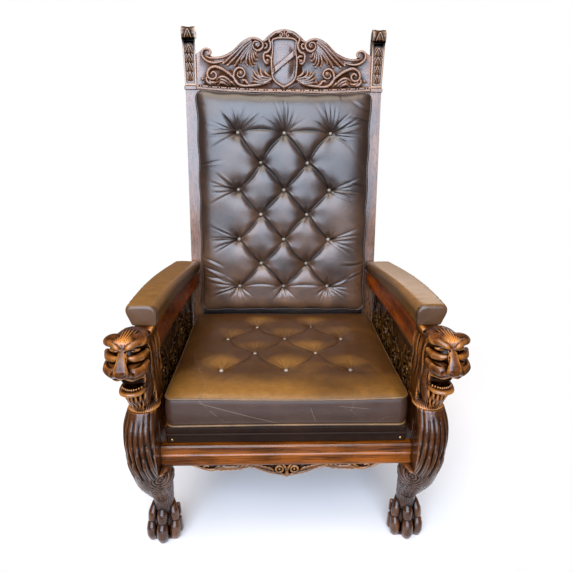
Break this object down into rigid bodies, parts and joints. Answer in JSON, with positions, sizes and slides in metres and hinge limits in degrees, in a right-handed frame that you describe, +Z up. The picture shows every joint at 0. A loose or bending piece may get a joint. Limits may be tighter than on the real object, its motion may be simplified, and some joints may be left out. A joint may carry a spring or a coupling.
{
  "type": "carved throne",
  "caption": "High-backed carved oak throne with lion-head arms, paw feet, pierced sides, a carved crest and buttoned leather cushions: a ceremonial seat that stands on its feet.",
  "frame": {"origin": "on the floor, under the middle of the throne's box", "axes": "+Z up; the sitter faces -Y; +X is to the sitter's left, which a viewer in front sees on the right"},
  "size_m": [0.8498, 0.8808, 1.4445],
  "materials": {
    "carved_oak": "dark waxed oak, carved, glossy on the high points",
    "plain_oak": "orange-brown waxed oak with open grain",
    "dark_oak": "dark brown stained oak, dull",
    "brown_leather": "dark brown leather with a satin sheen",
    "worn_leather": "golden brown leather, worn and creased",
    "button_leather": "covered buttons, rubbed pale"
  },
  "bodies": {
    "root": {"arm_pad_left": "worn_leather", "arm_pad_right": "worn_leather", "arm_rail_left": "plain_oak", "arm_rail_right": "plain_oak", "back_button_1_left": "button_leather", "back_button_1_middle": "button_leather", "back_button_1_right": "button_leather", "back_button_2_left": "button_leather", "back_button_2_right": "button_leather", "back_button_3_left": "button_leather", "back_button_3_middle": "button_leather", "back_button_3_right": "button_leather", "back_button_4_left": "button_leather", "back_button_4_right": "button_leather", "back_button_5_left": "button_leather", "back_button_5_middle": "button_leather", "back_button_5_right": "button_leather", "back_button_6_left": "button_leather", "back_button_6_right": "button_leather", "back_button_7_left": "button_leather", "back_button_7_middle": "button_leather", "back_button_7_right": "button_leather", "back_cushion": "brown_leather", "back_panel": "dark_oak", "back_post_left": "carved_oak", "back_post_right": "carved_oak", "crest_rail": "carved_oak", "front_apron": "carved_oak", "front_leg_left": "carved_oak", "front_leg_right": "carved_oak", "front_rail": "plain_oak", "lion_head_left": "carved_oak", "lion_head_right": "carved_oak", "lower_back_rail": "dark_oak", "seat_button_1_left": "button_leather", "seat_button_1_middle": "button_leather", "seat_button_1_right": "button_leather", "seat_button_2_left": "button_leather", "seat_button_2_right": "button_leather", "seat_button_3_left": "button_leather", "seat_button_3_middle": "button_leather", "seat_button_3_right": "button_leather", "seat_button_4_left": "button_leather", "seat_button_4_right": "button_leather", "seat_cushion": "worn_leather", "seat_deck": "brown_leather", "side_panel_left": "dark_oak", "side_panel_right": "dark_oak", "side_rail_left": "plain_oak", "side_rail_right": "plain_oak"}
  },
  "joints": []
}
